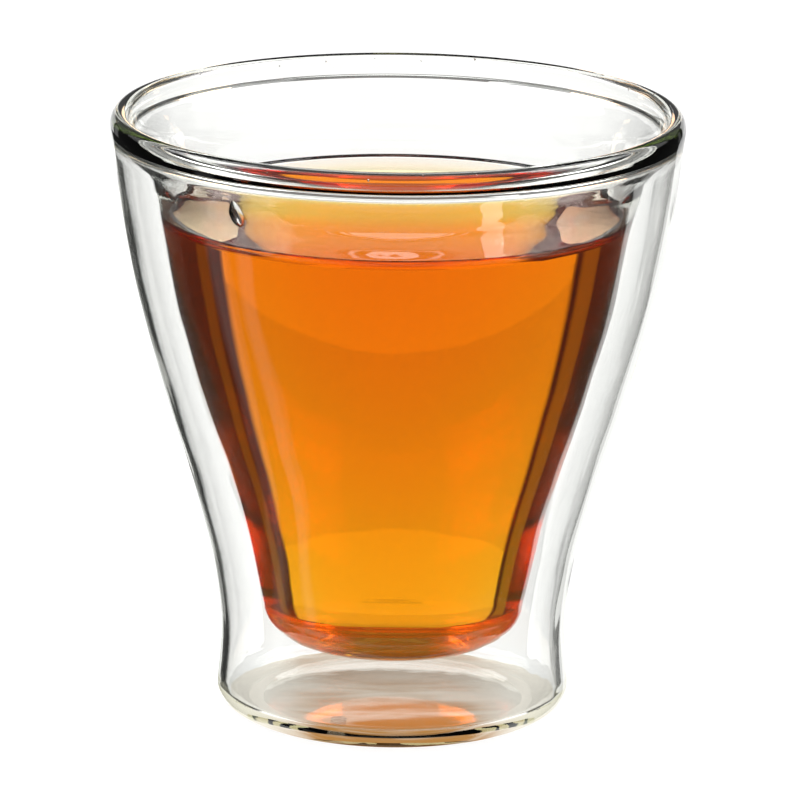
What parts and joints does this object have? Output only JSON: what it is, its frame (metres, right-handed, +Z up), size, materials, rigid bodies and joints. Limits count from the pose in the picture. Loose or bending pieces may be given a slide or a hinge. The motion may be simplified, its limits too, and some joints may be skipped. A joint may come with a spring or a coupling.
{
  "type": "double-walled tea glass filled with tea",
  "caption": "Waisted double-walled clear glass with an air gap between skin and cup, filled with amber tea to below the lip.",
  "frame": {"origin": "middle of the ring on the underside that the glass stands on", "axes": "+Z up along the glass's axis of turning, -Y towards the viewer of the picture, +X to the viewer's right"},
  "size_m": [0.086, 0.086, 0.0924],
  "materials": {
    "clear_glass": "clear colourless borosilicate glass, polished, fire-rounded lip",
    "amber_tea": "clear amber tea, still surface"
  },
  "bodies": {
    "root": {"glass": "clear_glass", "vent_seal": "clear_glass", "tea": "amber_tea"}
  },
  "joints": []
}
